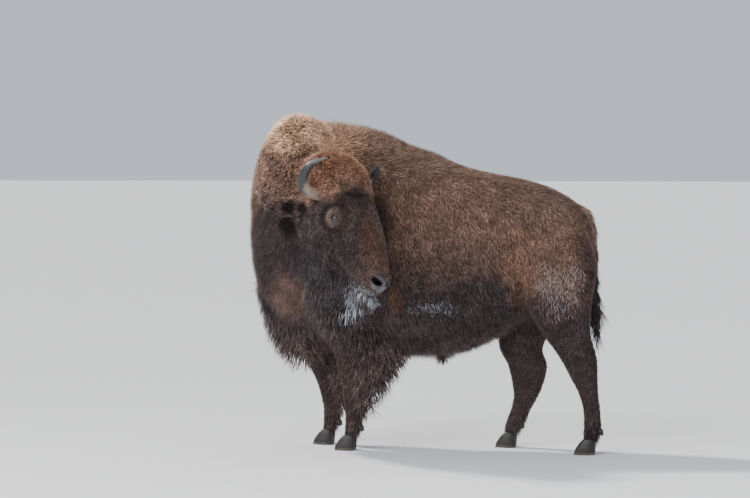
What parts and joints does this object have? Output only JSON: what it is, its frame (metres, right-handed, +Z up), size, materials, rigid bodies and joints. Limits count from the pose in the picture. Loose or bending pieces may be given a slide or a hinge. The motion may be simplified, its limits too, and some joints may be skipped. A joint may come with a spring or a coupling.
{
  "type": "bison",
  "caption": "Life-size standing bison in winter coat, head turned back over its left side, with hump, curved horns, beard, shaggy forelegs and hanging tail.",
  "frame": {"origin": "centre of the bounding box on the ground, under the animal", "axes": "+X towards the tail with the animal facing -X, +Y towards its right side, +Z up"},
  "size_m": [1.678, 1.0356, 1.619],
  "materials": {
    "coat_body": "dense winter coat, mid brown on the back and grey-brown on the flank",
    "coat_head": "short wavy dark brown hair",
    "coat_crown": "woolly orange-brown hair",
    "coat_mane": "woolly hair, pale on the crest and dark below",
    "coat_legs": "short dark hair",
    "coat_long": "long shaggy hair",
    "eye": "wet dark brown eye",
    "horn": "dark horn, paler at the base",
    "hoof": "dark horn, worn"
  },
  "bodies": {
    "root": {"beard": "coat_long", "belly_tuft": "coat_long", "chaps_left": "coat_long", "chaps_right": "coat_long", "crown_hair": "coat_crown", "dewclaw_fore_left_a": "hoof", "dewclaw_fore_left_b": "hoof", "dewclaw_fore_right_a": "hoof", "dewclaw_fore_right_b": "hoof", "dewclaw_hind_left_a": "hoof", "dewclaw_hind_left_b": "hoof", "dewclaw_hind_right_a": "hoof", "dewclaw_hind_right_b": "hoof", "ear_left": "coat_head", "ear_right": "coat_head", "eye_left": "eye", "eye_right": "eye", "head": "coat_head", "hoof_fore_left_a": "hoof", "hoof_fore_left_b": "hoof", "hoof_fore_right_a": "hoof", "hoof_fore_right_b": "hoof", "hoof_hind_left_a": "hoof", "hoof_hind_left_b": "hoof", "hoof_hind_right_a": "hoof", "hoof_hind_right_b": "hoof", "horn_left": "horn", "horn_right": "horn", "leg_fore_left": "coat_legs", "leg_fore_right": "coat_legs", "leg_hind_left": "coat_legs", "leg_hind_right": "coat_legs", "lower_jaw": "coat_head", "neck": "coat_mane", "tail": "coat_body", "tail_tuft": "coat_long", "throat_mane": "coat_long", "trunk": "coat_body"}
  },
  "joints": []
}
